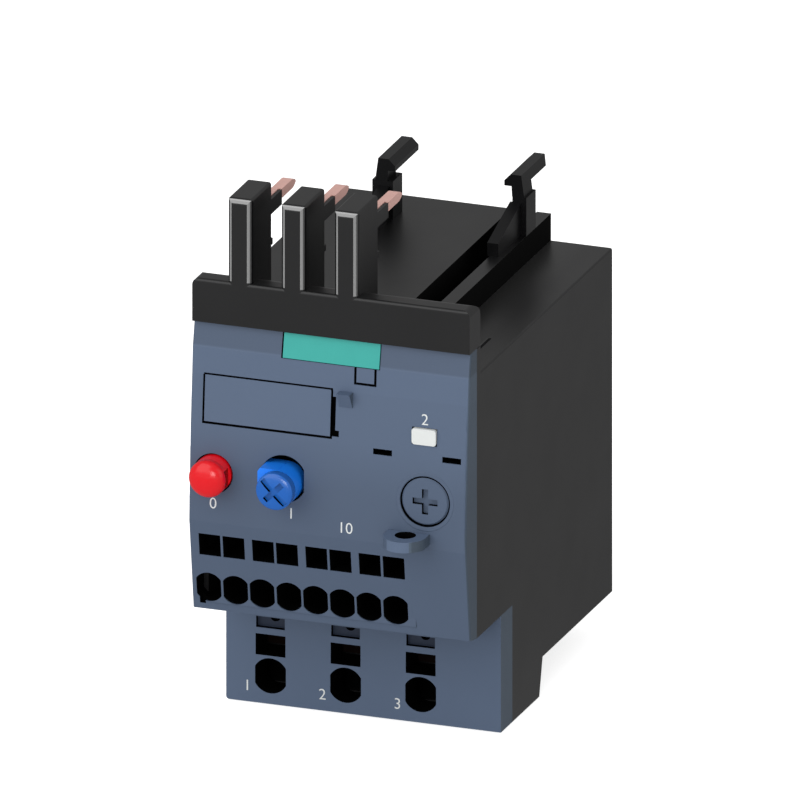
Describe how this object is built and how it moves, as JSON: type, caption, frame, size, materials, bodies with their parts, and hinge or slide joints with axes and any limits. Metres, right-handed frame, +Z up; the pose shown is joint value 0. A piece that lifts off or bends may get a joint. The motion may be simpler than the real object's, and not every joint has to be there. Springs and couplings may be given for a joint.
{
  "type": "thermal overload relay",
  "caption": "Motor overload relay with blade contacts and latch hooks on top, spring terminals, stop and reset buttons, a test button and a current dial in front",
  "frame": {"origin": "centre of the flat rear face", "axes": "+Z up toward the prongs, +Y out of the rear face, +X to the right seen from the front"},
  "size_m": [0.045, 0.0706, 0.0865],
  "materials": {
    "black_housing": "glossy moulded",
    "blue_grey_cover": "satin moulded",
    "teal_plate": "satin, bare",
    "label_grey": "satin, bare",
    "stop_red": "glossy",
    "reset_blue": "glossy",
    "test_white": "satin",
    "dial_grey": "satin",
    "mechanism_white": "moulded",
    "steel": "spring steel",
    "copper": "bare copper",
    "heater_alloy": "resistance strip",
    "bimetal": "two metals bonded"
  },
  "bodies": {
    "housing": {"main_housing": "black_housing", "top_cap": "black_housing", "latch_hook_left": "black_housing", "latch_hook_right": "black_housing", "front_cover": "blue_grey_cover", "terminal_block": "blue_grey_cover", "name_plate": "teal_plate", "label_plate": "label_grey", "stop_spring": "steel", "reset_spring": "steel", "test_spring": "steel", "carrier_spring": "steel", "pusher_pin": "steel", "main_clamp_1": "steel", "main_clamp_2": "steel", "main_clamp_3": "steel", "aux_clamp_1": "steel", "aux_clamp_2": "steel", "aux_clamp_3": "steel", "aux_clamp_4": "steel", "contact_bar_1": "copper", "contact_bar_2": "copper", "contact_bar_3": "copper", "main_busbar_1": "copper", "main_busbar_2": "copper", "main_busbar_3": "copper", "aux_busbar_1": "copper", "aux_busbar_2": "copper", "aux_busbar_3": "copper", "aux_busbar_4": "copper", "heater_winding_1": "heater_alloy", "heater_winding_2": "heater_alloy", "heater_winding_3": "heater_alloy", "bimetal_strip_1": "bimetal", "bimetal_strip_2": "bimetal", "bimetal_strip_3": "bimetal"},
    "stop": {"stop_button": "stop_red"},
    "reset_slider": {"reset_stem": "reset_blue"},
    "reset_turner": {"reset_knob": "reset_blue"},
    "test": {"test_button": "test_white"},
    "dial": {"current_dial": "dial_grey", "setting_cam": "dial_grey"},
    "slide": {"trip_slide": "mechanism_white"},
    "pusher": {"trip_pusher": "mechanism_white"},
    "carrier": {"contact_carrier": "mechanism_white", "closed_bridge": "copper", "open_bridge": "copper"}
  },
  "joints": [
    {"name": "stop_push", "type": "slide", "parent": "housing", "child": "stop", "axis": [0, 1, 0], "range_m": [0, 0.0025], "stiffness_N_per_m": 400, "springref_m": -0.002, "deforming": ["stop_spring"]},
    {"name": "reset_push", "type": "slide", "parent": "housing", "child": "reset_slider", "axis": [0, 1, 0], "range_m": [0, 0.0025], "stiffness_N_per_m": 400, "springref_m": -0.002, "deforming": ["reset_spring"]},
    {"name": "reset_turn", "type": "hinge", "parent": "reset_slider", "child": "reset_turner", "pos_m": [-0.00724, -0.0669, 0.00602], "axis": [0, 1, 0], "range_deg": [0, 90]},
    {"name": "test_push", "type": "slide", "parent": "housing", "child": "test", "axis": [0, 1, 0], "range_m": [0, 0.0012], "stiffness_N_per_m": 300, "springref_m": -0.001, "deforming": ["test_spring"]},
    {"name": "dial_turn", "type": "hinge", "parent": "housing", "child": "dial", "pos_m": [0.01575, -0.0639, 0.00588], "axis": [0, 1, 0], "range_deg": [-120, 120]},
    {"name": "trip_move", "type": "slide", "parent": "housing", "child": "slide", "axis": [1, 0, 0], "range_m": [0, 0.002], "stiffness_N_per_m": 200, "springref_m": -0.0005},
    {"name": "pusher_move", "type": "slide", "parent": "housing", "child": "pusher", "axis": [0, 1, 0], "range_m": [0, 0.00115]},
    {"name": "carrier_move", "type": "slide", "parent": "housing", "child": "carrier", "axis": [0, 1, 0], "range_m": [0, 0.00115], "deforming": ["carrier_spring"]}
  ],
  "couplings": [
    {"joint": "pusher_move", "follows": "trip_move", "ratio": 0.575},
    {"joint": "carrier_move", "follows": "trip_move", "ratio": 0.575}
  ]
}
